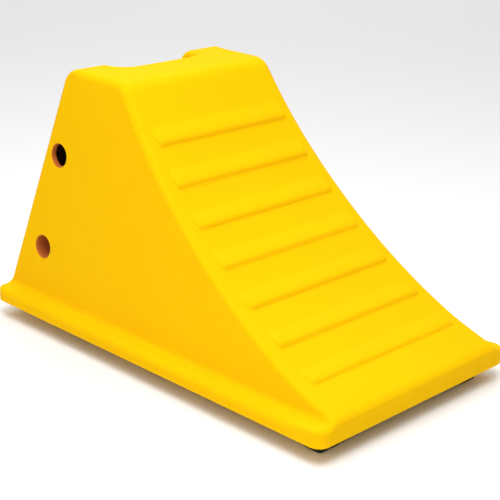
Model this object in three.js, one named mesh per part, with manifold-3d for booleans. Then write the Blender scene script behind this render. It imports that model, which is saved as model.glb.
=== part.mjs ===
// Truck wheel chock: a hollow moulded body on two rubber grip pads.
// Millimetres. +X points to the toe (the thin end that meets the tyre), +Y across the
// width, +Z up. The origin is on the ground, under the middle of the chock.
import * as THREE from 'three';
import { mergeVertices } from 'three/addons/utils/BufferGeometryUtils.js';
import Module from 'manifold-3d';

const wasm = await Module();
wasm.setup();

// ---- Driving dimensions ----
const LENGTH = 365; // heel to toe
const WIDTH = 216; // over both side flanges
const BODY_HEIGHT = 204; // underside of the body to its flat top
const GAP = 0.3; // kept between pieces that touch

// Body: outside
const WALL_HALF_WIDTH = 95.2; // side wall, at the underside
const SIDE_DRAFT = 0.088; // inward lean of a side wall, per mm of height
const HEEL_LEAN = 0.318; // forward lean of the rear wall, per mm of height
const HEEL_UPRIGHT = 8; // height of the rear wall's upright foot
const RAMP_RADIUS = 463.5; // concave tyre face
const TOE_HEIGHT = 15.5; // where the tyre face would meet the front face
const TOE_ROUND = 8;
const BROW_X = -53.6; // where the tyre face would meet the flat top
const BROW_ROUND = 18; // top of the tyre face
const TOP_REAR_ROUND = 14;
const FLANGE_THICKNESS = 12.5;
const FLANGE_TOE_ROUND = 10;
const FLANGE_HEEL_ROUND = 7.5;

// Body: traction ribs across the tyre face
const RIB_COUNT = 7;
const RIB_FIRST_ANGLE = 38.66; // degrees round the tyre face's centre
const RIB_STEP_ANGLE = 4.37;
const RIB_STEP_GROWTH = 0.022; // the ribs stand slightly wider apart towards the toe
const RIB_UPPER_RUN = 5.5; // crest to the long upper flank's foot
const RIB_LOWER_RUN = 4; // crest to the steep lower flank's foot
const RIB_CREST = 1.2;
const RIB_HEIGHT = 2.3;
const RIB_SIDE_MARGIN = 12.4; // rib end to the side wall

// Body: hollow
const WALL = 9;
const WEB = 8;
const CROSS_WEB_X = -24;
const HEEL_BLOCK_X = -118; // front of the solid heel block
const HEEL_BLOCK_HEIGHT = 72;
const TOE_BLOCK_X = 140; // back of the solid toe block

// Body: holes and hand grip
const SIDE_HOLE_RADIUS = 9.3;
const HOLE_RELIEF_RADIUS = 12.5; // the wall is thinner round an upper hole
const HOLE_WALL = 5.5;
const UPPER_HOLE = { x: -125.4, z: 133.1 };
const LOWER_HOLE = { x: -140.2, z: 53.9 };
const GRIP_FRONT_X = -97;
const GRIP_HALF_WIDTH = 43;
const GRIP_ROUND = 15;
const GRIP_FLOOR = 146; // height of the grip's floor at its front
const GRIP_FLOOR_DROP = 14; // how much lower the floor is at the rear

// Grip pads
const PAD_THICKNESS = 13;
const PAD_LENGTH = 17;
const PAD_ROUND = 3;
const PAD_ARCH = 2.8; // relief under the middle of a pad
const PAD_FOOT = 14; // flat part at each end of a pad, along Y
const TOE_PAD = { frontX: LENGTH / 2 - 14.3, halfWidth: 90.5 };
const HEEL_PAD = { frontX: -LENGTH / 2 + 31, halfWidth: 84 };

// Pad fasteners
const SCREW_Y = [-72, -25, 25, 72];
const SCREW_RADIUS = 2.5;
const SCREW_HEAD_RADIUS = 4.7;
const SCREW_HEAD_HEIGHT = 3;
const SOCKET_RADIUS = 1.7;
const SOCKET_DEPTH = 1.8;
const SCREW_REACH = 10; // length of the shank inside its insert
const WASHER_RADIUS = 5.5;
const WASHER_THICKNESS = 1.2;
const COUNTERBORE_RADIUS = 6;
const COUNTERBORE_DEPTH = 7;
const INSERT_RADIUS = 3.8;
const INSERT_LENGTH = 12;
const INSERT_HOLE_DEPTH = 14;

// Facets
const HOLE_SEGMENTS = 32;
const HARDWARE_SEGMENTS = 24;
const RAMP_SEGMENTS = 28;
const ROUND_SEGMENTS = 6;
const BROW_SEGMENTS = 8;

// ---- Derived places ----
const HEEL_X = -LENGTH / 2;
const TOE_X = LENGTH / 2;
const BODY_Z = PAD_THICKNESS + GAP;
const RAMP_CENTRE = rampCentre();

// Centre of the tyre face's arc, from the two points that the arc passes through.
function rampCentre() {
  const dx = TOE_X - BROW_X;
  const dz = TOE_HEIGHT - BODY_HEIGHT;
  const half = Math.hypot(dx, dz) / 2;
  const rise = Math.sqrt(RAMP_RADIUS ** 2 - half ** 2);
  return {
    x: (TOE_X + BROW_X) / 2 - (dz / (2 * half)) * rise,
    z: (TOE_HEIGHT + BODY_HEIGHT) / 2 + (dx / (2 * half)) * rise,
  };
}

// ---- Solids ----
function solid(geometry) {
  geometry.deleteAttribute('normal');
  geometry.deleteAttribute('uv');
  const merged = mergeVertices(geometry, 1e-4);
  const mesh = new wasm.Mesh({
    numProp: 3,
    vertProperties: new Float32Array(merged.attributes.position.array),
    triVerts: new Uint32Array(merged.index.array),
  });
  return new wasm.Manifold(mesh);
}

function geometryOf(manifold) {
  const mesh = manifold.getMesh();
  const geometry = new THREE.BufferGeometry();
  geometry.setAttribute('position', new THREE.BufferAttribute(mesh.vertProperties, 3));
  geometry.setIndex(new THREE.BufferAttribute(mesh.triVerts, 1));
  geometry.computeVertexNormals();
  return geometry;
}

function extrude(points, depth) {
  return new THREE.ExtrudeGeometry(new THREE.Shape(points), { depth, bevelEnabled: false });
}

// An outline in X and Z, carried along Y from y0 to y1.
function alongY(points, y0, y1) {
  return solid(extrude(points, y1 - y0).rotateX(Math.PI / 2).translate(0, y1, 0));
}

// An outline in Y and Z, carried along X from x0 to x1.
function alongX(points, x0, x1) {
  const geometry = extrude(points, x1 - x0).rotateX(Math.PI / 2).rotateZ(Math.PI / 2);
  return solid(geometry.translate(x0, 0, 0));
}

// An outline in X and Y, carried along Z from z0 to z1.
function alongZ(points, z0, z1) {
  return solid(extrude(points, z1 - z0).translate(0, 0, z0));
}

function box(x0, x1, y0, y1, z0, z1) {
  const geometry = new THREE.BoxGeometry(x1 - x0, y1 - y0, z1 - z0);
  return solid(geometry.translate((x0 + x1) / 2, (y0 + y1) / 2, (z0 + z1) / 2));
}

function crossHole(place, radius, y0, y1) {
  const geometry = new THREE.CylinderGeometry(radius, radius, y1 - y0, HOLE_SEGMENTS);
  return solid(geometry.translate(place.x, (y0 + y1) / 2, place.z));
}

function post(x, y, radius, z0, z1) {
  const geometry = new THREE.CylinderGeometry(radius, radius, z1 - z0, HARDWARE_SEGMENTS);
  return solid(geometry.rotateX(Math.PI / 2).translate(x, y, (z0 + z1) / 2));
}

// ---- Outlines ----
function arc(cx, cy, radius, from, to, segments) {
  const points = [];
  for (let i = 0; i <= segments; i += 1) {
    const angle = from + ((to - from) * i) / segments;
    points.push(new THREE.Vector2(cx + radius * Math.cos(angle), cy + radius * Math.sin(angle)));
  }
  return points;
}

function point(x, y) {
  return new THREE.Vector2(x, y);
}

// A rectangle with its own corner radius at each end of X.
function roundedPlate(x0, x1, halfWidth, radius0, radius1) {
  const quarter = Math.PI / 2;
  const corner = (x, y, r, start) => arc(x, y, r, start, start + quarter, ROUND_SEGMENTS);
  return [
    ...corner(x1 - radius1, halfWidth - radius1, radius1, 0),
    ...corner(x0 + radius0, halfWidth - radius0, radius0, quarter),
    ...corner(x0 + radius0, radius0 - halfWidth, radius0, 2 * quarter),
    ...corner(x1 - radius1, radius1 - halfWidth, radius1, 3 * quarter),
  ];
}

// X of the rear wall's outside at height z.
function heelX(z) {
  return HEEL_X + HEEL_LEAN * Math.max(z - HEEL_UPRIGHT, 0);
}

function sideHalfWidth(z) {
  return WALL_HALF_WIDTH - SIDE_DRAFT * z;
}

// Angle, from the tyre face's centre, of a point.
function rampAngle(x, z) {
  return Math.atan2(z - RAMP_CENTRE.z, x - RAMP_CENTRE.x) + 2 * Math.PI;
}

// Side view of the outside: front face, toe, tyre face, brow, flat top and rear wall.
function outerProfile() {
  const toeX = TOE_X - TOE_ROUND;
  const reachToe = RAMP_RADIUS + TOE_ROUND;
  const toeZ = RAMP_CENTRE.z - Math.sqrt(reachToe ** 2 - (RAMP_CENTRE.x - toeX) ** 2);
  const toeTurn = rampAngle(toeX, toeZ) - Math.PI;

  const browZ = BODY_HEIGHT - BROW_ROUND;
  const reachBrow = RAMP_RADIUS + BROW_ROUND;
  const browX = RAMP_CENTRE.x - Math.sqrt(reachBrow ** 2 - (RAMP_CENTRE.z - browZ) ** 2);
  const browTurn = rampAngle(browX, browZ) - Math.PI;

  const lean = Math.atan(HEEL_LEAN);
  const rearZ = BODY_HEIGHT - TOP_REAR_ROUND;
  const rearX = heelX(rearZ) + TOP_REAR_ROUND / Math.cos(lean);

  return [
    point(HEEL_X, 0),
    point(TOE_X, 0),
    ...arc(toeX, toeZ, TOE_ROUND, 0, toeTurn, ROUND_SEGMENTS),
    ...rampArc(0, rampAngle(toeX, toeZ), rampAngle(browX, browZ)).slice(1, -1),
    ...arc(browX, browZ, BROW_ROUND, browTurn, Math.PI / 2, BROW_SEGMENTS),
    ...arc(rearX, rearZ, TOP_REAR_ROUND, Math.PI / 2, Math.PI - lean, ROUND_SEGMENTS),
    point(HEEL_X, HEEL_UPRIGHT),
  ];
}

// The tyre face's arc, set back into the body by depth.
function rampArc(depth, from, to) {
  return arc(RAMP_CENTRE.x, RAMP_CENTRE.z, RAMP_RADIUS + depth, from, to, RAMP_SEGMENTS);
}

// Front view of a body whose drafted sides are set in by depth.
function draftedSection(depth) {
  const bottom = -20;
  const top = BODY_HEIGHT + 20;
  const low = sideHalfWidth(bottom) - depth;
  const high = sideHalfWidth(top) - depth;
  return [point(-low, bottom), point(low, bottom), point(high, top), point(-high, top)];
}

// Side view of the hollow, open at the underside.
function hollowProfile() {
  const inner = RAMP_RADIUS + WALL;
  const ceiling = BODY_HEIGHT - WALL;
  const rearWall = (z) => heelX(z) + WALL / Math.cos(Math.atan(HEEL_LEAN));
  const toeZ = RAMP_CENTRE.z - Math.sqrt(inner ** 2 - (RAMP_CENTRE.x - TOE_BLOCK_X) ** 2);
  const browX = RAMP_CENTRE.x - Math.sqrt(inner ** 2 - (RAMP_CENTRE.z - ceiling) ** 2);
  return [
    point(HEEL_BLOCK_X, -1),
    point(TOE_BLOCK_X, -1),
    ...rampArc(WALL, rampAngle(TOE_BLOCK_X, toeZ), rampAngle(browX, ceiling)),
    point(rearWall(ceiling), ceiling),
    point(rearWall(HEEL_BLOCK_HEIGHT), HEEL_BLOCK_HEIGHT),
    point(HEEL_BLOCK_X, HEEL_BLOCK_HEIGHT),
  ];
}

// ---- Body ----
// One raised rib, square to the tyre face.
function tractionRib(index) {
  const angle = THREE.MathUtils.degToRad(
    RIB_FIRST_ANGLE + RIB_STEP_ANGLE * index + RIB_STEP_GROWTH * index ** 2,
  );
  const normal = { x: Math.cos(angle), z: Math.sin(angle) };
  const foot = {
    x: RAMP_CENTRE.x - RAMP_RADIUS * normal.x,
    z: RAMP_CENTRE.z - RAMP_RADIUS * normal.z,
  };
  const place = (along, out) =>
    point(foot.x + along * normal.z + out * normal.x, foot.z - along * normal.x + out * normal.z);
  const root = -2;
  const outline = [
    place(-RIB_UPPER_RUN, root),
    place(-RIB_UPPER_RUN, 0),
    place(-RIB_CREST / 2, RIB_HEIGHT),
    place(RIB_CREST / 2, RIB_HEIGHT),
    place(RIB_LOWER_RUN, 0),
    place(RIB_LOWER_RUN, root),
  ];
  const halfLength = sideHalfWidth(foot.z) - RIB_SIDE_MARGIN;
  return alongY(outline.reverse(), -halfLength, halfLength);
}

// The space for fingers behind the flat top, grown by margin on its closed sides.
function gripSpace(margin) {
  const front = GRIP_FRONT_X + margin;
  const rear = HEEL_X;
  const halfWidth = GRIP_HALF_WIDTH + margin;
  const floor = GRIP_FLOOR - margin;
  const top = BODY_HEIGHT + 10;
  const plan = roundedPlate(rear, front, halfWidth, GRIP_ROUND, GRIP_ROUND + margin);
  const slope = GRIP_FLOOR_DROP / (GRIP_FRONT_X - heelX(GRIP_FLOOR));
  const profile = [
    point(rear, floor - slope * (front - rear)),
    point(front, floor),
    point(front, top),
    point(rear, top),
  ];
  return alongZ(plan, 0, top).intersect(alongY(profile, -halfWidth, halfWidth));
}

function hollow() {
  const full = alongY(hollowProfile(), -WIDTH / 2, WIDTH / 2);
  const drafted = full.intersect(alongX(draftedSection(WALL), HEEL_X, TOE_X));
  const centreWeb = box(HEEL_X, TOE_X, -WEB / 2, WEB / 2, -5, BODY_HEIGHT);
  const crossWeb = box(
    CROSS_WEB_X - WEB / 2,
    CROSS_WEB_X + WEB / 2,
    -WIDTH / 2,
    WIDTH / 2,
    -5,
    BODY_HEIGHT,
  );
  return drafted.subtract(centreWeb).subtract(crossWeb).subtract(gripSpace(WALL));
}

function chockBody() {
  const wedge = alongY(outerProfile(), -WIDTH / 2, WIDTH / 2);
  const plate = roundedPlate(HEEL_X, TOE_X, WIDTH / 2, FLANGE_HEEL_ROUND, FLANGE_TOE_ROUND);
  let body = wedge.intersect(alongX(draftedSection(0), HEEL_X, TOE_X));
  body = body.add(alongZ(plate, 0, FLANGE_THICKNESS));
  for (let i = 0; i < RIB_COUNT; i += 1) {
    body = body.add(tractionRib(i));
  }
  body = body.subtract(hollow()).subtract(gripSpace(0));
  const wallInside = sideHalfWidth(UPPER_HOLE.z) - 2 * WALL;
  body = body.subtract(crossHole(UPPER_HOLE, SIDE_HOLE_RADIUS, -WIDTH / 2, -wallInside));
  body = body.subtract(crossHole(UPPER_HOLE, SIDE_HOLE_RADIUS, wallInside, WIDTH / 2));
  const thinned = sideHalfWidth(UPPER_HOLE.z) - HOLE_WALL;
  body = body.subtract(crossHole(UPPER_HOLE, HOLE_RELIEF_RADIUS, -thinned, -wallInside));
  body = body.subtract(crossHole(UPPER_HOLE, HOLE_RELIEF_RADIUS, wallInside, thinned));
  body = body.subtract(crossHole(LOWER_HOLE, SIDE_HOLE_RADIUS, -WIDTH / 2, WIDTH / 2));
  for (const pad of [TOE_PAD, HEEL_PAD]) {
    for (const y of SCREW_Y) {
      const x = padMiddle(pad);
      body = body.subtract(post(x, y, INSERT_RADIUS + GAP, -1, INSERT_HOLE_DEPTH));
    }
  }
  return geometryOf(body);
}

// ---- Grip pads and their fasteners ----
function padMiddle(pad) {
  return pad.frontX - PAD_LENGTH / 2;
}

// Front view of the relief under a pad: a shallow arch between its two flat ends.
function archOutline(halfWidth) {
  const reach = halfWidth - PAD_FOOT;
  const radius = (reach ** 2 + PAD_ARCH ** 2) / (2 * PAD_ARCH);
  const sweep = Math.asin(reach / radius);
  const up = Math.PI / 2;
  return arc(0, PAD_ARCH - radius, radius, up - sweep, up + sweep, 2 * BROW_SEGMENTS);
}

function gripPad(pad) {
  const plan = roundedPlate(
    pad.frontX - PAD_LENGTH,
    pad.frontX,
    pad.halfWidth,
    PAD_ROUND,
    PAD_ROUND,
  );
  const arch = [...archOutline(pad.halfWidth), point(-pad.halfWidth, -5), point(pad.halfWidth, -5)];
  let body = alongZ(plan, 0, PAD_THICKNESS);
  body = body.subtract(alongX(arch, pad.frontX - PAD_LENGTH - 5, pad.frontX + 5));
  for (const y of SCREW_Y) {
    const x = padMiddle(pad);
    body = body.subtract(post(x, y, SCREW_RADIUS + GAP, -1, PAD_THICKNESS + 1));
    body = body.subtract(post(x, y, COUNTERBORE_RADIUS, -1, COUNTERBORE_DEPTH));
  }
  return geometryOf(body);
}

// A ring or a stepped pin is turned about Z from its half section.
function turned(section) {
  const points = [...section, section[0]].map(([radius, z]) => point(radius, z));
  return new THREE.LatheGeometry(points, HARDWARE_SEGMENTS).rotateX(Math.PI / 2);
}

function washerGeometry() {
  const inside = SCREW_RADIUS + GAP;
  return turned([
    [inside, 0],
    [WASHER_RADIUS, 0],
    [WASHER_RADIUS, WASHER_THICKNESS],
    [inside, WASHER_THICKNESS],
  ]);
}

function insertGeometry() {
  const inside = SCREW_RADIUS + GAP;
  return turned([
    [inside, 0],
    [INSERT_RADIUS, 0],
    [INSERT_RADIUS, INSERT_LENGTH],
    [inside, INSERT_LENGTH],
  ]);
}

function screwGeometry() {
  const tip = SCREW_HEAD_HEIGHT + screwLength();
  const head = post(0, 0, SCREW_HEAD_RADIUS, 0, SCREW_HEAD_HEIGHT);
  const shank = post(0, 0, SCREW_RADIUS, SCREW_HEAD_HEIGHT - 1, tip);
  const hexagon = new THREE.CylinderGeometry(SOCKET_RADIUS, SOCKET_RADIUS, 2 * SOCKET_DEPTH, 6);
  const socket = solid(hexagon.rotateX(Math.PI / 2));
  return geometryOf(head.add(shank).subtract(socket));
}

// Height of the underside of a screw's head above the ground.
function screwSeat() {
  return COUNTERBORE_DEPTH - WASHER_THICKNESS - 2 * GAP;
}

function screwLength() {
  return BODY_Z + SCREW_REACH - screwSeat();
}

// ---- Assembly ----
function material(colour, roughness, metalness) {
  return new THREE.MeshStandardMaterial({ color: colour, roughness, metalness });
}

const yellowUrethane = material(0xffc60a, 0.42, 0);
const blackRubber = material(0x1d1a18, 0.8, 0);
const zincSteel = material(0xb9bdc0, 0.35, 1);
const brass = material(0xc79a45, 0.35, 1);

const chock = new THREE.Group();

function addPiece(name, geometry, finish, x, y, z) {
  const mesh = new THREE.Mesh(geometry, finish);
  mesh.name = name;
  mesh.position.set(x, y, z);
  chock.add(mesh);
}

addPiece('chock_body', chockBody(), yellowUrethane, 0, 0, BODY_Z);

for (const [end, pad] of [['toe', TOE_PAD], ['heel', HEEL_PAD]]) {
  const x = padMiddle(pad);
  addPiece(`${end}_grip_pad`, gripPad(pad), blackRubber, 0, 0, 0);
  SCREW_Y.forEach((y, index) => {
    const headBottom = screwSeat() - SCREW_HEAD_HEIGHT;
    const washerBottom = screwSeat() + GAP;
    const place = index + 1;
    addPiece(`${end}_pad_screw_${place}`, screwGeometry(), zincSteel, x, y, headBottom);
    addPiece(`${end}_pad_washer_${place}`, washerGeometry(), zincSteel, x, y, washerBottom);
    addPiece(`${end}_pad_insert_${place}`, insertGeometry(), brass, x, y, BODY_Z);
  });
}

export default chock;
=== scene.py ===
"""Looks of a truck wheel chock: a hollow yellow moulding on two black rubber grip pads.

Metres in Blender, millimetres in the shape functions. +X points to the toe (the thin end
that meets the tyre), +Y across the width, +Z up, the ground at Z = 0.
"""

import math

import bpy
import numpy as np
import openvdb
from mathutils import Matrix, Vector

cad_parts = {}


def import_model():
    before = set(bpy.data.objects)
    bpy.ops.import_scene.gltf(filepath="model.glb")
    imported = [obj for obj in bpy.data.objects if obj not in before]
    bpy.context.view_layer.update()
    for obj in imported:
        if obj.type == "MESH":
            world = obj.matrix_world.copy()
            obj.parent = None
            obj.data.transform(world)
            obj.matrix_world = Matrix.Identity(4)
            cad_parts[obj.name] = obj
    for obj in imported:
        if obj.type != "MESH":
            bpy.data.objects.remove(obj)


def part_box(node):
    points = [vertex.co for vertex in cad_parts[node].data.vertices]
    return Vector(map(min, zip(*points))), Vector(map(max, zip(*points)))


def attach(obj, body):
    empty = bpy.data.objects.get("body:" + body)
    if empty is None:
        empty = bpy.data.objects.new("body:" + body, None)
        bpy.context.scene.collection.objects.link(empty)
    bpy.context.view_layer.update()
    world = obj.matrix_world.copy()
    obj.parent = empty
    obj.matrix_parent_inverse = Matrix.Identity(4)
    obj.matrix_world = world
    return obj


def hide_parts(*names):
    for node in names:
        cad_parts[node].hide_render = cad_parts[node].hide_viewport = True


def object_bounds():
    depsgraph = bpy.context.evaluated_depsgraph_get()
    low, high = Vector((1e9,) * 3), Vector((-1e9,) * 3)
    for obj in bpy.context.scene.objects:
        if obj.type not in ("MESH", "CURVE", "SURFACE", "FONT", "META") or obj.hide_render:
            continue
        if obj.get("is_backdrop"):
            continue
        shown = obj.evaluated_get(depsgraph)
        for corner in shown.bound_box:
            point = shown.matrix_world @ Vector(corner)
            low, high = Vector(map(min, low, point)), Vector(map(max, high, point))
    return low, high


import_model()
cad_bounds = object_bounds()

MM = 0.001


def box_mm(node):
    """Lowest and highest corner of a CAD node, in millimetres."""
    low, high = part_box(node)
    return np.array(low) / MM, np.array(high) / MM


BODY_LOW, BODY_HIGH = box_mm("chock_body")
HALF_LENGTH = (BODY_HIGH[0] - BODY_LOW[0]) / 2
HALF_WIDTH = (BODY_HIGH[1] - BODY_LOW[1]) / 2
BODY_BASE = BODY_LOW[2]
BODY_HEIGHT = BODY_HIGH[2] - BODY_BASE

# Outside of the body; heights are above its underside
WALL_HALF_WIDTH = 95.2
SIDE_DRAFT = 0.088
HEEL_LEAN = 0.318
HEEL_UPRIGHT = 8
RAMP_RADIUS = 463.5
TOE_HEIGHT = 15.5
TOE_LIFT = 1.8
TOE_LIFT_X = (135, 180)
FLANGE_TOE_RISE = 1.8
FLANGE_TOE_RISE_X = (140, 178)
BROW_X = -53.6
BROW_ROUND = 17
TOP_REAR_ROUND = 15.5
FLANGE_THICKNESS = 12
FLANGE_TOE_ROUND = 10
FLANGE_HEEL_ROUND = 7.5

# Softened edges of the moulding; where two roundings meet, one fades into the other
# over a range of heights, of X or of distances
EDGE_ROUND = 6
LOW_EDGE_ROUND = 3.8
EDGE_FADE_HEIGHTS = (90, 170)
HEEL_EDGE_ROUND = 3
HEEL_EDGE_FADE = (4, 22)
FLANGE_EDGE_ROUND = 6
FLANGE_REAR_ROUND = 2.5
FLANGE_REAR_FADE = (2, 12)
TOE_EDGE_ROUND = 5
TOE_EDGE_FADE_Y = (84, 98)
TOE_CORNER_ROUND = 3.2
TOE_CORNER_FADE_X = (150, 176)
FLANGE_FILLET = 5
UNDERSIDE_ROUND = 1
HOLE_RIM_ROUND = 1.6
RELIEF_RIM_ROUND = 0.6
BORE_RIM_ROUND = 0.4
GRIP_RIM_ROUND = 5
GRIP_INNER_ROUND = 6
HOLLOW_ROUND = 5
WEB_ROUND = 3

# Traction ribs
RIB_COUNT = 7
RIB_FIRST_ANGLE = math.radians(38.66)
RIB_STEP_ANGLE = math.radians(4.37)
RIB_STEP_GROWTH = math.radians(0.022)
RIB_HEIGHT = 2.3
RIB_UPPER_RUN = 17
RIB_UPPER_ROOT = 0.2
RIB_LOWER_RUN = 4.2
RIB_SIDE_MARGIN = 11.9
RIB_DEPTH = 4
RIB_FILLET = 0.5
RIB_END_ROUND = 2.6

# Hollow
WALL = 9
WEB = 8
CROSS_WEB_X = -24
HEEL_BLOCK_X = -118
HEEL_BLOCK_HEIGHT = 72
TOE_BLOCK_X = 140

# Holes and hand grip
SIDE_HOLE_RADIUS = 9.2
HOLE_RELIEF_RADIUS = 12.5
HOLE_WALL = 5.5
UPPER_HOLE = (-125.4, 133.1)
LOWER_HOLE = (-140.2, 53.9)
GRIP_FRONT_X = -95.5
GRIP_HALF_WIDTH = 43
GRIP_ROUND = 15
GRIP_REACH = 200
GRIP_FLOOR = 146
GRIP_FLOOR_DROP = 14

# Grip pads and fasteners
SCREW_Y = (25, 72)
INSERT_HOLE_RADIUS = 4.1
INSERT_HOLE_DEPTH = 14
PAD_ROUND = 3
PAD_EDGE_ROUND = 0.9
PAD_ARCH = 2.8
PAD_FOOT = 14
PAD_ARCH_RIM = 0.6
TREAD_STEP = 8
TREAD_WIDTH = 2.4
TREAD_DEPTH = 1.6
TREAD_END_MARGIN = 6
TREAD_END_ROUND = 0.8
TREAD_INNER_ROUND = 0.5
TREAD_RIM_ROUND = 0.4
PAD_HOLE_RADIUS = 2.8
COUNTERBORE_RADIUS = 6
COUNTERBORE_DEPTH = 7
COUNTERBORE_RIM = 0.5
BOSS_WALL = 1.6
BOSS_EDGE_ROUND = 0.4
BOSS_SIDE_INSET = 0.5
BOSS_SIDE_ROUND = 0.3
BOSS_FILLET = 0.2
SCREW_HEAD_HEIGHT = 3.0
SCREW_SHANK_RADIUS = 2.5
INSERT_BORE_RADIUS = 2.8

LEAN_COS = 1 / math.hypot(1, HEEL_LEAN)
LEAN_SIN = HEEL_LEAN * LEAN_COS
DRAFT_COS = 1 / math.hypot(1, SIDE_DRAFT)
RIB_ROUND = (RIB_LOWER_RUN**2 + RIB_HEIGHT**2) / (2 * RIB_HEIGHT)
RIB_MEAN_STEP = RIB_STEP_ANGLE + RIB_STEP_GROWTH * (RIB_COUNT - 1)


def ramp_centre():
    """Centre of the tyre face's arc, in X and height."""
    dx = HALF_LENGTH - BROW_X
    dz = TOE_HEIGHT - BODY_HEIGHT
    half = math.hypot(dx, dz) / 2
    rise = math.sqrt(RAMP_RADIUS**2 - half**2)
    return (
        (HALF_LENGTH + BROW_X) / 2 - dz / (2 * half) * rise,
        (TOE_HEIGHT + BODY_HEIGHT) / 2 + dx / (2 * half) * rise,
    )


RAMP_X, RAMP_Z = ramp_centre()
BROW_CENTRE = (
    RAMP_X - math.sqrt((RAMP_RADIUS + BROW_ROUND) ** 2 - (RAMP_Z - BODY_HEIGHT + BROW_ROUND) ** 2),
    BODY_HEIGHT - BROW_ROUND,
)
HEEL_TOP_CENTRE = (
    -HALF_LENGTH + HEEL_LEAN * (BODY_HEIGHT - TOP_REAR_ROUND - HEEL_UPRIGHT) + TOP_REAR_ROUND / LEAN_COS,
    BODY_HEIGHT - TOP_REAR_ROUND,
)


# ---- Distances: negative inside, and exact enough near the surface ----
def both(a, b, radius):
    """What is in a and in b, the edge between them rounded."""
    near = np.hypot(np.maximum(a + radius, 0), np.maximum(b + radius, 0))
    return np.minimum(np.maximum(a, b), -radius) + near


def either(a, b, radius):
    """What is in a or in b, the corner between them filled."""
    near = np.hypot(np.maximum(radius - a, 0), np.maximum(radius - b, 0))
    return np.maximum(np.minimum(a, b), radius) - near


def without(a, b, radius):
    """What is in a and not in b, the edge between them rounded."""
    return both(a, -b, radius)


def rounded_corner(flat, u, v, centre, radius, first, last):
    """Puts an arc in place of a corner, between the directions first and last."""
    du = u - centre[0]
    dv = v - centre[1]
    turned = (first[0] * dv - first[1] * du > 0) & (du * last[1] - dv * last[0] > 0)
    return np.where(turned, np.hypot(du, dv) - radius, flat)


def rounded_rectangle(u, v, half_u, half_v, radius):
    qu = np.abs(u) - half_u + radius
    qv = np.abs(v) - half_v + radius
    outside = np.hypot(np.maximum(qu, 0), np.maximum(qv, 0))
    return np.minimum(np.maximum(qu, qv), 0) + outside - radius


def smooth_step(value, low, high):
    t = np.clip((value - low) / (high - low), 0, 1)
    return t * t * (3 - 2 * t)


def rear_wall(x, z):
    return (-HALF_LENGTH + HEEL_LEAN * (z - HEEL_UPRIGHT) - x) * LEAN_COS


def side_wall(y, z):
    return (np.abs(y) - WALL_HALF_WIDTH + SIDE_DRAFT * z) * DRAFT_COS


def side_view(x, z):
    """The wedge in X and height: tyre face, brow, flat top and rear wall."""
    ramp = RAMP_RADIUS - np.hypot(x - RAMP_X, z - RAMP_Z)
    ramp = ramp - TOE_LIFT * smooth_step(x, *TOE_LIFT_X)
    shape = np.maximum(np.maximum(ramp, z - BODY_HEIGHT), rear_wall(x, z))
    to_ramp = (RAMP_X - BROW_CENTRE[0], RAMP_Z - BROW_CENTRE[1])
    shape = rounded_corner(shape, x, z, BROW_CENTRE, BROW_ROUND, to_ramp, (0, 1))
    rear = (-LEAN_COS, LEAN_SIN)
    return rounded_corner(shape, x, z, HEEL_TOP_CENTRE, TOP_REAR_ROUND, (0, 1), rear)


def plan_view(x, y):
    """The flange's outline, with its own corner radius at each end."""
    radius = np.where(x > 0, FLANGE_TOE_ROUND, FLANGE_HEEL_ROUND)
    return rounded_rectangle(x, y, HALF_LENGTH, HALF_WIDTH, radius)


def traction_ribs(x, y, z):
    """Low bars across the tyre face: a long soft rise above the crest, an arc below it."""
    reach = np.hypot(x - RAMP_X, z - RAMP_Z)
    angle = np.arctan2(RAMP_Z - z, RAMP_X - x)
    index = np.clip(np.round((angle - RIB_FIRST_ANGLE) / RIB_MEAN_STEP), 0, RIB_COUNT - 1)
    place = RIB_FIRST_ANGLE + RIB_STEP_ANGLE * index + RIB_STEP_GROWTH * index**2
    turn = angle - place
    down = reach * np.sin(turn)
    out = RAMP_RADIUS - reach * np.cos(turn)
    lower = np.hypot(down, out + RIB_ROUND - RIB_HEIGHT) - RIB_ROUND
    share = np.clip(-down / RIB_UPPER_RUN, 0, 1) * math.pi
    rise = RIB_HEIGHT + RIB_UPPER_ROOT
    steepness = rise * math.pi / (2 * RIB_UPPER_RUN) * np.sin(share)
    upper = (out + RIB_UPPER_ROOT - rise * (1 + np.cos(share)) / 2) / np.hypot(1, steepness)
    section = np.where(down < 0, upper, lower)
    foot_z = RAMP_Z - RAMP_RADIUS * np.sin(place)
    end = np.abs(y) - (WALL_HALF_WIDTH - SIDE_DRAFT * foot_z - RIB_SIDE_MARGIN)
    section = np.maximum(np.maximum(section, -RIB_DEPTH - out), -down - RIB_UPPER_RUN)
    return both(section, end, RIB_END_ROUND)


def grip_space(x, y, z):
    """The space for fingers behind the flat top, open upwards and to the rear."""
    centre = GRIP_FRONT_X - GRIP_REACH
    plan = rounded_rectangle(x - centre, y, GRIP_REACH, GRIP_HALF_WIDTH, GRIP_ROUND)
    rear = -HALF_LENGTH + HEEL_LEAN * (GRIP_FLOOR - HEEL_UPRIGHT)
    slope = GRIP_FLOOR_DROP / (GRIP_FRONT_X - rear)
    floor = (GRIP_FLOOR + slope * (x - GRIP_FRONT_X) - z) / math.hypot(1, slope)
    return both(plan, floor, GRIP_INNER_ROUND)


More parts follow.
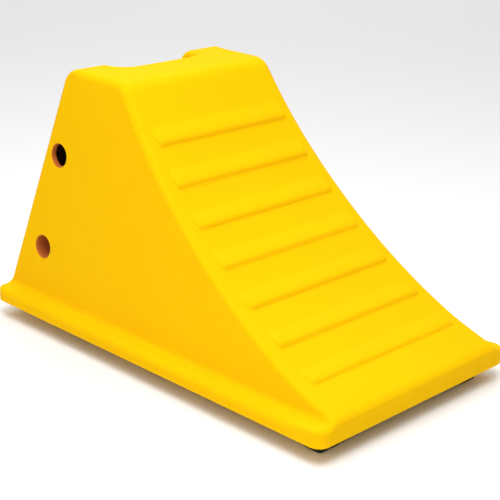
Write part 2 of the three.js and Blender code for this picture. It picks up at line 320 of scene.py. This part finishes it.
def hollow(x, y, z, grip):
    """The space under the walls, divided by a centre web and a cross web."""
    ramp = RAMP_RADIUS + WALL - np.hypot(x - RAMP_X, z - RAMP_Z)
    roof = both(ramp, z - BODY_HEIGHT + WALL, HOLLOW_ROUND)
    above_block = np.maximum(rear_wall(x, z) + WALL, HEEL_BLOCK_HEIGHT - z)
    rear = either(above_block, HEEL_BLOCK_X - x, WEB_ROUND)
    shape = both(both(roof, rear, HOLLOW_ROUND), x - TOE_BLOCK_X, WEB_ROUND)
    shape = both(shape, side_wall(y, z) + WALL, HOLLOW_ROUND)
    shape = both(shape, WEB / 2 - np.abs(y), WEB_ROUND)
    shape = both(shape, WEB / 2 - np.abs(x - CROSS_WEB_X), WEB_ROUND)
    return both(shape, WALL - grip, WEB_ROUND)


def chock_body(x, y, z):
    """The whole moulding; z is the height above its underside."""
    ahead = smooth_step(-rear_wall(x, z), *HEEL_EDGE_FADE)
    high = smooth_step(z, *EDGE_FADE_HEIGHTS)
    edge = LOW_EDGE_ROUND + (EDGE_ROUND - LOW_EDGE_ROUND) * high
    edge = HEEL_EDGE_ROUND + (edge - HEEL_EDGE_ROUND) * ahead
    wedge = both(side_view(x, z), side_wall(y, z), edge)
    top = FLANGE_THICKNESS + FLANGE_TOE_RISE * smooth_step(x, *FLANGE_TOE_RISE_X)
    shape = either(wedge, z - top, FLANGE_FILLET)
    middle = 1 - smooth_step(np.abs(y), *TOE_EDGE_FADE_Y)
    toe = smooth_step(x, *TOE_CORNER_FADE_X)
    rim = FLANGE_EDGE_ROUND + (TOE_CORNER_ROUND - FLANGE_EDGE_ROUND) * toe
    rim = rim + (TOE_EDGE_ROUND - rim) * middle
    rear_share = 1 - smooth_step(x + HALF_LENGTH, *FLANGE_REAR_FADE)
    rim = rim + (FLANGE_REAR_ROUND - rim) * rear_share
    shape = both(shape, plan_view(x, y), rim)
    shape = either(shape, traction_ribs(x, y, z), RIB_FILLET)
    grip = grip_space(x, y, z)
    shape = without(shape, grip, GRIP_RIM_ROUND)
    from_upper = np.hypot(x - UPPER_HOLE[0], z - UPPER_HOLE[1])
    inside = WALL_HALF_WIDTH - SIDE_DRAFT * UPPER_HOLE[1] - 2 * WALL
    upper = np.maximum(from_upper - SIDE_HOLE_RADIUS, inside - np.abs(y))
    relief = np.maximum(from_upper - HOLE_RELIEF_RADIUS, side_wall(y, z) + HOLE_WALL)
    relief = np.maximum(relief, inside - np.abs(y))
    lower = np.hypot(x - LOWER_HOLE[0], z - LOWER_HOLE[1]) - SIDE_HOLE_RADIUS
    shape = without(shape, np.minimum(upper, lower), HOLE_RIM_ROUND)
    shape = without(shape, relief, RELIEF_RIM_ROUND)
    shape = without(shape, hollow(x, y, z, grip), UNDERSIDE_ROUND)
    for screw_x in PAD_X.values():
        for screw_y in SCREW_Y:
            bore = np.hypot(x - screw_x, np.abs(y) - screw_y) - INSERT_HOLE_RADIUS
            shape = without(shape, np.maximum(bore, z - INSERT_HOLE_DEPTH), BORE_RIM_ROUND)
    return both(shape, -z, UNDERSIDE_ROUND)


PADS = {end: box_mm(end + "_grip_pad") for end in ("toe", "heel")}
PAD_X = {end: (low[0] + high[0]) / 2 for end, (low, high) in PADS.items()}


def grip_pad(end):
    """A rubber block across the width, arched underneath, with tread and screw seats."""
    low, high = PADS[end]
    half_x = (high[0] - low[0]) / 2
    half_y = (high[1] - low[1]) / 2
    thickness = high[2] - low[2]
    reach = half_y - PAD_FOOT
    arch_radius = (reach**2 + PAD_ARCH**2) / (2 * PAD_ARCH)

    def distance(x, y, z):
        shape = rounded_rectangle(x - PAD_X[end], y, half_x, half_y, PAD_ROUND)
        arch = np.hypot(y, z - PAD_ARCH + arch_radius) - arch_radius
        shape = both(shape, z - thickness, PAD_EDGE_ROUND)
        lowest = np.maximum(PAD_ARCH - y * y / (2 * arch_radius), 0)
        phase = np.abs(np.abs(x - PAD_X[end]) - TREAD_STEP / 2)
        groove = both(phase - TREAD_WIDTH / 2, z - lowest - TREAD_DEPTH, TREAD_INNER_ROUND)
        groove = both(groove, np.abs(y) - half_y + TREAD_END_MARGIN, TREAD_END_ROUND)
        shape = without(shape, groove, TREAD_RIM_ROUND)
        near = math.inf
        for screw_y in SCREW_Y:
            near = np.minimum(near, np.hypot(x - PAD_X[end], np.abs(y) - screw_y))
        seat = np.maximum(near - COUNTERBORE_RADIUS, z - COUNTERBORE_DEPTH)
        boss = near - COUNTERBORE_RADIUS - BOSS_WALL
        boss = both(boss, z - COUNTERBORE_DEPTH, BOSS_EDGE_ROUND)
        boss = np.maximum(boss, lowest - z)
        side = np.abs(x - PAD_X[end]) - half_x + BOSS_SIDE_INSET
        shape = either(shape, both(boss, side, BOSS_SIDE_ROUND), BOSS_FILLET)
        shape = without(shape, np.minimum(seat, near - PAD_HOLE_RADIUS), COUNTERBORE_RIM)
        shape = without(shape, arch, PAD_ARCH_RIM)
        return both(shape, -z, PAD_EDGE_ROUND)

    return distance


# ---- Surfaces ----
SLAB = 24
SETTLE_PASSES = 3
SETTLE_REACH = 0.02
LONGEST_MOVE = 0.5
NORMAL_REACH = 0.15


def skin(name, distance, low, high, step, adaptivity, offset=(0, 0, 0)):
    """Meshes the zero surface of a distance function that is even in Y."""
    margin = 3 * step
    xs = np.arange(low[0] - margin, high[0] + margin + step, step, dtype=np.float32)
    ys = np.arange(0, high[1] + margin + step, step, dtype=np.float32)
    zs = np.arange(low[2] - margin, high[2] + margin + step, step, dtype=np.float32)
    half = np.empty((len(xs), len(ys), len(zs)), np.float32)
    for start in range(0, len(xs), SLAB):
        part = xs[start : start + SLAB, None, None]
        half[start : start + SLAB] = distance(part, ys[None, :, None], zs[None, None, :])
    half = np.clip(half / step, -3, 3)
    field = np.concatenate([half[:, :0:-1], half], axis=1)
    grid = openvdb.FloatGrid(3.0)
    grid.copyFromArray(np.ascontiguousarray(field))
    points, triangles, quads = grid.convertToPolygons(isovalue=0.0, adaptivity=adaptivity)
    origin = np.array([xs[0], -ys[-1], zs[0]], float)
    points = origin + step * points.astype(float)
    points, normals = settle(points, distance)
    faces = [list(map(int, f)) for f in quads] + [list(map(int, f)) for f in triangles]
    return surface_mesh(name, (points + np.array(offset)) * MM, faces, normals)


def slope_of(points, distance, reach):
    """Gradient of distance at points."""
    gradient = np.empty_like(points)
    for axis in range(3):
        ahead = points.copy()
        behind = points.copy()
        ahead[:, axis] += reach
        behind[:, axis] -= reach
        gradient[:, axis] = (distance(*ahead.T) - distance(*behind.T)) / (2 * reach)
    return gradient


def settle(points, distance):
    """Moves points onto the surface, and gives its normals there."""
    for _ in range(SETTLE_PASSES):
        gradient = slope_of(points, distance, SETTLE_REACH)
        size = np.maximum((gradient**2).sum(1), 0.2)
        move = -(distance(*points.T) / size)[:, None] * gradient
        length = np.linalg.norm(move, axis=1, keepdims=True)
        points = points + move * np.minimum(1, LONGEST_MOVE / np.maximum(length, 1e-9))
    normals = slope_of(points, distance, NORMAL_REACH)
    return points, normals / np.maximum(np.linalg.norm(normals, axis=1, keepdims=True), 1e-9)


def surface_mesh(name, points, faces, normals):
    mesh = bpy.data.meshes.new(name)
    mesh.from_pydata(points, [], faces)
    mesh.update()
    first = mesh.polygons[0]
    if first.normal.dot(Vector(normals[first.vertices[0]])) < 0:
        mesh.flip_normals()
    mesh.shade_smooth()
    mesh.normals_split_custom_set_from_vertices([tuple(n) for n in normals])
    return mesh


# Where the painted shade on the faces seen through the upper holes starts and fades out
INSIDE_DEPTH = 2.5
INSIDE_REACH = (30, 48)
GRIP_CLEARANCE = (1, 2)


def mark_painted_inside_shade(mesh):
    """Marks the faces inside the body that the upper holes look onto, which the finish paints dark as
    shade.
    """
    points = np.empty(len(mesh.vertices) * 3)
    mesh.vertices.foreach_get("co", points)
    x, y, z = points.reshape(-1, 3).T / MM
    z = z - BODY_BASE
    deep = np.minimum(-side_view(x, z), -side_wall(y, z))
    near = np.hypot(x - UPPER_HOLE[0], z - UPPER_HOLE[1])
    start = np.where(near > SIDE_HOLE_RADIUS + 0.6, INSIDE_DEPTH, HOLE_WALL - 0.5)
    share = smooth_step(deep, start, start + 1) * (1 - smooth_step(near, *INSIDE_REACH))
    share = share * smooth_step(np.abs(grip_space(x, y, z)), *GRIP_CLEARANCE)
    mark = mesh.attributes.new("inside", "FLOAT", "POINT")
    mark.data.foreach_set("value", share.astype(np.float32))


def show(name, mesh, finish, slot, node, location=(0, 0, 0)):
    piece = bpy.data.objects.new(name, mesh)
    bpy.context.scene.collection.objects.link(piece)
    piece.location = location
    if not mesh.materials:
        mesh.materials.append(finish)
    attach(piece, "root")
    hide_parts(node)
    return piece


# ---- Turned pieces ----
AROUND = 48
SMOOTH_ANGLE = math.radians(32)
EDGE_STEPS = 4


def turned(name, rings):
    """A closed mesh from rings; a ring is (height, radius) or (height, radius function).

    The first and last rings close the ends with one point each when their radius is 0;
    otherwise the last ring joins the first one, as in a washer.
    """
    angles = np.arange(AROUND) * 2 * math.pi / AROUND
    points = []
    loops = []
    for height, radius in rings:
        if not callable(radius) and radius == 0:
            loops.append([len(points)] * AROUND)
            points.append((0.0, 0.0, height))
            continue
        sizes = radius(angles) if callable(radius) else np.full(AROUND, float(radius))
        loops.append(list(range(len(points), len(points) + AROUND)))
        points.extend(zip(sizes * np.cos(angles), sizes * np.sin(angles), [height] * AROUND))
    open_ring = loops[0][0] != loops[0][1]
    pairs = list(zip(loops, loops[1:])) + ([(loops[-1], loops[0])] if open_ring else [])
    faces = []
    for below, above in pairs:
        for i in range(AROUND):
            j = (i + 1) % AROUND
            corners = [below[i], below[j], above[j], above[i]]
            faces.append(list(dict.fromkeys(corners)))
    mesh = bpy.data.meshes.new(name)
    mesh.from_pydata(np.array(points, float) * MM, [], faces)
    mesh.update()
    mesh.shade_smooth()
    mesh.set_sharp_from_angle(angle=SMOOTH_ANGLE)
    return mesh


def round_edge(height, radius, size, start):
    """Rings of a quarter-round edge whose centre is at height and radius."""
    turns = [start + i * 90 / EDGE_STEPS for i in range(EDGE_STEPS + 1)]
    return [
        (
            height + size * math.sin(math.radians(t)),
            radius + size * math.cos(math.radians(t)),
        )
        for t in turns
    ]


def hexagon(across):
    """Radius of a hexagon, half of whose width over the corners is across."""
    def radius(angles):
        turn = np.mod(angles, math.pi / 3) - math.pi / 6
        return across * math.cos(math.pi / 6) / np.cos(turn)
    return radius


def knurl(radius, depth, teeth):
    def size(angles):
        return radius - depth * (0.5 + 0.5 * np.cos(angles * teeth))
    return size


def screw_mesh(head_radius, head_height, shank_radius, tip):
    """A hex-socket screw, head down, its threaded shank pointing up."""
    socket = 1.7
    socket_depth = 1.8
    socket_lead = 0.25
    pitch = 0.8
    thread = 0.32
    face_round = 0.7
    rim_round = 0.3
    point = 0.8
    rings = [(socket_depth + 0.4, 0), (socket_depth, hexagon(socket))]
    rings += [(socket_lead, hexagon(socket)), (0.0, hexagon(socket + 0.3))]
    rings += round_edge(face_round, head_radius - face_round, face_round, -90)
    rings += round_edge(head_height - rim_round, head_radius - rim_round, rim_round, 0)
    rings += [(head_height, shank_radius + 0.25), (head_height + 0.25, shank_radius)]
    first = head_height + 2.2
    last = tip - point
    steps = int((last - first) / (pitch / 6))
    for i in range(steps + 1):
        height = first + i * (last - first) / steps
        fade = min(1, i / 6)

        def radius(angles, height=height, fade=fade):
            phase = np.mod(height / pitch - angles / (2 * math.pi), 1)
            ridge = np.clip(np.abs(phase - 0.5) * 2.6 - 0.2, 0, 1)
            return shank_radius - thread * fade * ridge
        rings.append((height, radius))
    rings += [(tip - 0.7, shank_radius - thread), (tip, shank_radius - 0.9), (tip, 0)]
    return turned("pad_screw", rings)


def washer_mesh(inside, outside, thickness):
    edge = 0.2
    rings = round_edge(edge, outside - edge, edge, -90)
    rings += round_edge(thickness - edge, outside - edge, edge, 0)
    rings += round_edge(thickness - edge, inside + edge, edge, 90)
    rings += round_edge(edge, inside + edge, edge, 180)
    return turned("pad_washer", rings)


def insert_mesh(inside, outside, length):
    """A brass insert with two knurled bands and a groove between them."""
    knurled = knurl(outside, 0.3, 24)
    plain = outside - 0.45
    rings = [(0.3, inside), (0.0, inside + 0.3), (0.0, plain - 0.1), (0.3, plain)]
    rings += [(0.7, plain), (0.9, knurled), (5.0, knurled), (5.2, plain)]
    rings += [(6.8, plain), (7.0, knurled), (length - 0.9, knurled), (length - 0.7, plain)]
    rings += [(length - 0.2, plain), (length, plain - 0.2), (length, inside + 0.2)]
    rings += [(length - 0.2, inside)]
    return turned("pad_insert", rings)


# ---- Finishes ----
class Finish:
    """A node material being put together round one Principled shader."""

    def __init__(self, name):
        self.material = bpy.data.materials.new(name)
        self.material.use_nodes = True
        self.tree = self.material.node_tree
        self.shader = self.tree.nodes["Principled BSDF"]
        self.place = self.add("ShaderNodeTexCoord").outputs["Object"]

    def add(self, kind, **settings):
        node = self.tree.nodes.new(kind)
        for key, value in settings.items():
            if key in node.inputs:
                node.inputs[key].default_value = value
            else:
                setattr(node, key, value)
        return node

    def link(self, source, target):
        self.tree.links.new(source, target)

    def noise(self, scale, detail, roughness=0.55):
        node = self.add("ShaderNodeTexNoise", Scale=scale, Detail=detail, Roughness=roughness)
        self.link(self.place, node.inputs["Vector"])
        return node.outputs["Fac"]

    def spread(self, source, low, high, to_low=0.0, to_high=1.0):
        node = self.add("ShaderNodeMapRange")
        node.inputs["From Min"].default_value = low
        node.inputs["From Max"].default_value = high
        node.inputs["To Min"].default_value = to_low
        node.inputs["To Max"].default_value = to_high
        self.link(source, node.inputs["Value"])
        return node.outputs["Result"]

    def round_patch(self, x, z, radius, rim, inner):
        """1 near a line along Y at x, z (mm), fading to 0 across rim and closer in than inner."""
        flat = self.add("ShaderNodeVectorMath", operation="MULTIPLY")
        flat.inputs[1].default_value = (1, 0, 1)
        self.link(self.place, flat.inputs[0])
        reach = self.add("ShaderNodeVectorMath", operation="DISTANCE")
        reach.inputs[1].default_value = (float(x) * MM, 0, float(z) * MM)
        self.link(flat.outputs["Vector"], reach.inputs[0])
        near = (radius + 0.1) * MM
        patch = self.spread(reach.outputs["Value"], near, near + 0.5 * rim * MM, 1, 0)
        across = self.add("ShaderNodeSeparateXYZ")
        self.link(self.place, across.inputs["Vector"])
        aside = self.add("ShaderNodeMath", operation="ABSOLUTE")
        self.link(across.outputs["Y"], aside.inputs[0])
        outer = self.spread(aside.outputs["Value"], inner * MM, (inner + 2) * MM)
        limited = self.add("ShaderNodeMath", operation="MULTIPLY")
        self.link(patch, limited.inputs[0])
        self.link(outer, limited.inputs[1])
        return limited.outputs["Value"]

    def blend(self, share, first, second):
        node = self.add("ShaderNodeMix", data_type="RGBA")
        for socket, value in (("A", first), ("B", second)):
            target = [s for s in node.inputs if s.name == socket and s.type == "RGBA"][0]
            if isinstance(value, tuple):
                target.default_value = (*value, 1)
            else:
                self.link(value, target)
        self.link(share, node.inputs["Factor"])
        return [s for s in node.outputs if s.type == "RGBA"][0]

    def colour(self, source):
        self.link(source, self.shader.inputs["Base Color"])

    def roughness(self, source):
        self.link(source, self.shader.inputs["Roughness"])

    def bump(self, layers):
        """Layers of (height output, distance in mm), the finest last."""
        normal = None
        for height, distance in layers:
            node = self.add("ShaderNodeBump", Strength=1.0, Distance=distance * MM)
            self.link(height, node.inputs["Height"])
            if normal is not None:
                self.link(normal, node.inputs["Normal"])
            normal = node.outputs["Normal"]
        self.link(normal, self.shader.inputs["Normal"])

    def set(self, **values):
        for key, value in values.items():
            self.shader.inputs[key.replace("_", " ")].default_value = value


YELLOW = (0.89, 0.50, 0.002)
LIGHT_YELLOW = (0.89, 0.515, 0.002)
YELLOW_FLECK = (0.86, 0.46, 0.001)
# Painted shade: a darker, redder colour for the bores of the side holes
PAINTED_HOLE_SHADE = (0.52, 0.14, 0.03)
# Painted shade: near-black for the faces inside the body seen through the upper holes
PAINTED_INSIDE_SHADE = (0.03, 0.012, 0.002)


def yellow_urethane():
    finish = Finish("yellow_urethane")
    broad = finish.noise(9, 3)
    patches = finish.spread(broad, 0.35, 0.68)
    tone = finish.blend(patches, YELLOW, LIGHT_YELLOW)
    flecks = finish.spread(finish.noise(260, 2), 0.66, 0.78, 0, 0.25)
    tone = finish.blend(flecks, tone, YELLOW_FLECK)
    # Painted shade: the bores of both side holes are coloured darker and redder, as they look in shade
    for x, z in (UPPER_HOLE, LOWER_HOLE):
        hole_shade = finish.round_patch(
            x, z + BODY_BASE, SIDE_HOLE_RADIUS, HOLE_RIM_ROUND, GRIP_HALF_WIDTH + WALL
        )
        tone = finish.blend(hole_shade, tone, PAINTED_HOLE_SHADE)
    # Painted shade: the marked faces inside the body are coloured near-black
    inside = finish.add("ShaderNodeAttribute", attribute_name="inside").outputs["Fac"]
    tone = finish.blend(inside, tone, PAINTED_INSIDE_SHADE)
    finish.colour(tone)
    finish.roughness(finish.spread(finish.noise(60, 4), 0.3, 0.7, 0.42, 0.56))
    finish.bump([(broad, 0.5), (finish.noise(420, 3, 0.6), 0.035)])
    finish.set(
        Specular_IOR_Level=0.01,
        Specular_Tint=(1.0, 0.8, 0.25, 1),
        Subsurface_Weight=0.12,
        Subsurface_Radius=(1.0, 0.55, 0.05),
        Subsurface_Scale=0.004,
    )
    return finish.material


def black_rubber():
    finish = Finish("black_rubber")
    dust = finish.spread(finish.noise(45, 4), 0.45, 0.75)
    finish.colour(finish.blend(dust, (0.017, 0.014, 0.012), (0.03, 0.025, 0.02)))
    finish.roughness(finish.spread(finish.noise(120, 3), 0.3, 0.7, 0.7, 0.88))
    finish.bump([(finish.noise(900, 3, 0.6), 0.05)])
    finish.set(Specular_IOR_Level=0.35)
    return finish.material


def zinc_steel():
    finish = Finish("zinc_steel")
    bloom = finish.spread(finish.noise(240, 3), 0.4, 0.7)
    finish.colour(finish.blend(bloom, (0.56, 0.57, 0.58), (0.46, 0.47, 0.48)))
    finish.roughness(finish.spread(finish.noise(700, 3), 0.3, 0.7, 0.3, 0.45))
    finish.bump([(finish.noise(1500, 2), 0.01)])
    finish.set(Metallic=1.0)
    return finish.material


def brass():
    finish = Finish("brass")
    stain = finish.spread(finish.noise(300, 3), 0.4, 0.7)
    finish.colour(finish.blend(stain, (0.66, 0.42, 0.13), (0.52, 0.31, 0.09)))
    finish.roughness(finish.spread(finish.noise(700, 3), 0.3, 0.7, 0.3, 0.42))
    finish.bump([(finish.noise(1500, 2), 0.01)])
    finish.set(Metallic=1.0)
    return finish.material


# ---- The pieces ----
finishes = {
    "yellow_urethane": yellow_urethane(),
    "black_rubber": black_rubber(),
    "zinc_steel": zinc_steel(),
    "brass": brass(),
}

BODY_STEP = 1.0
BODY_MERGING = 0.01
PAD_STEP = 0.6
PAD_MERGING = 0.02
body_box = (
    (-HALF_LENGTH, 0, 0),
    (HALF_LENGTH, HALF_WIDTH, BODY_HEIGHT),
)
body_place = (0, 0, BODY_BASE)
body_mesh = skin("urethane_body", chock_body, *body_box, BODY_STEP, BODY_MERGING, body_place)
mark_painted_inside_shade(body_mesh)
show("urethane_body", body_mesh, finishes["yellow_urethane"], "yellow_urethane", "chock_body")

for end, (low, high) in PADS.items():
    name = end + "_rubber_pad"
    mesh = skin(name, grip_pad(end), low, high, PAD_STEP, PAD_MERGING)
    show(name, mesh, finishes["black_rubber"], "black_rubber", end + "_grip_pad")

shared = {}
for kind, slot in (("screw", "zinc_steel"), ("washer", "zinc_steel"), ("insert", "brass")):
    for end in PADS:
        for place in (1, 2, 3, 4):
            node = f"{end}_pad_{kind}_{place}"
            low, high = box_mm(node)
            size = (high - low).tolist()
            if kind not in shared:
                if kind == "screw":
                    shared[kind] = screw_mesh(
                        size[0] / 2, SCREW_HEAD_HEIGHT, SCREW_SHANK_RADIUS, size[2]
                    )
                elif kind == "washer":
                    shared[kind] = washer_mesh(PAD_HOLE_RADIUS, size[0] / 2, size[2])
                else:
                    shared[kind] = insert_mesh(INSERT_BORE_RADIUS, size[0] / 2, size[2])
            spot = ((low[0] + high[0]) / 2, (low[1] + high[1]) / 2, low[2])
            location = tuple(float(v) * MM for v in spot)
            name = f"{end}_{kind}_{place}"
            show(name, shared[kind], finishes[slot], slot, node, location)


# ---- Studio ----
LIGHT_PIVOT = (0, 0, 0.08)


def bearing(azimuth, elevation):
    """Unit vector; azimuth is from -Y towards +X, both angles in radians."""
    level = math.cos(elevation)
    return Vector((math.sin(azimuth) * level, -math.cos(azimuth) * level, math.sin(elevation)))


def camera():
    data = bpy.data.cameras.new("camera")
    data.lens = 96.3
    data.sensor_width = 36
    data.clip_end = 60
    eye = bpy.data.objects.new("camera", data)
    bpy.context.scene.collection.objects.link(eye)
    azimuth = math.radians(43.964)
    elevation = math.radians(19.949)
    roll = math.radians(1.69)
    target = Vector((0.02813, -0.02038, 0.09381))
    distance = 1.0228
    back = bearing(azimuth, elevation)
    level = (-back).cross(Vector((0, 0, 1))).normalized()
    upright = level.cross(-back)
    across = level * math.cos(roll) + upright * math.sin(roll)
    up = upright * math.cos(roll) - level * math.sin(roll)
    turn = Matrix((across, up, back)).transposed()
    eye.matrix_world = Matrix.Translation(target + back * distance) @ turn.to_4x4()
    bpy.context.scene.camera = eye


def softbox(name, azimuth, elevation, distance, size, power, aim=LIGHT_PIVOT):
    """A square light at angles in degrees round LIGHT_PIVOT, turned towards aim."""
    data = bpy.data.lights.new(name, "AREA")
    data.shape = "SQUARE"
    data.size = size
    data.energy = power
    lamp = bpy.data.objects.new(name, data)
    bpy.context.scene.collection.objects.link(lamp)
    direction = bearing(math.radians(azimuth), math.radians(elevation))
    lamp.location = Vector(LIGHT_PIVOT) + distance * direction
    lamp.rotation_mode = "QUATERNION"
    lamp.rotation_quaternion = (Vector(aim) - lamp.location).to_track_quat("-Z", "Y")


def floor():
    mesh = bpy.data.meshes.new("floor")
    reach = 12
    corners = [(-reach, -reach, 0), (reach, -reach, 0), (reach, reach, 0), (-reach, reach, 0)]
    mesh.from_pydata(corners, [], [(0, 1, 2, 3)])
    material = bpy.data.materials.new("floor")
    material.use_nodes = True
    shader = material.node_tree.nodes["Principled BSDF"]
    shader.inputs["Base Color"].default_value = (0.9, 0.9, 0.9, 1)
    shader.inputs["Roughness"].default_value = 0.9
    shader.inputs["Specular IOR Level"].default_value = 0.1
    mesh.materials.append(material)
    ground = bpy.data.objects.new("floor", mesh)
    bpy.context.scene.collection.objects.link(ground)
    ground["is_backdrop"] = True


def world():
    sky = bpy.data.worlds.new("studio")
    sky.use_nodes = True
    background = sky.node_tree.nodes["Background"]
    background.inputs["Color"].default_value = (1, 1, 1, 1)
    background.inputs["Strength"].default_value = 0.44
    bpy.context.scene.world = sky


camera()
floor()
world()
softbox("key", 41, 68, 1.15, 0.8, 10.8)
softbox("top", 280, 78, 1.2, 0.8, 2.2)
softbox("fill", 30, 25, 0.85, 0.45, 1.0)
softbox("backdrop", 224, 46, 3.7, 1.6, 36, aim=(-1.7, 1.75, 0))

scene = bpy.context.scene
scene.view_settings.view_transform = "Standard"
scene.view_settings.look = "None"

visual_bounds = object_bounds()
sizes = {"cad": cad_bounds, "visual": visual_bounds}
{key: [list(corner) for corner in pair] for key, pair in sizes.items()}
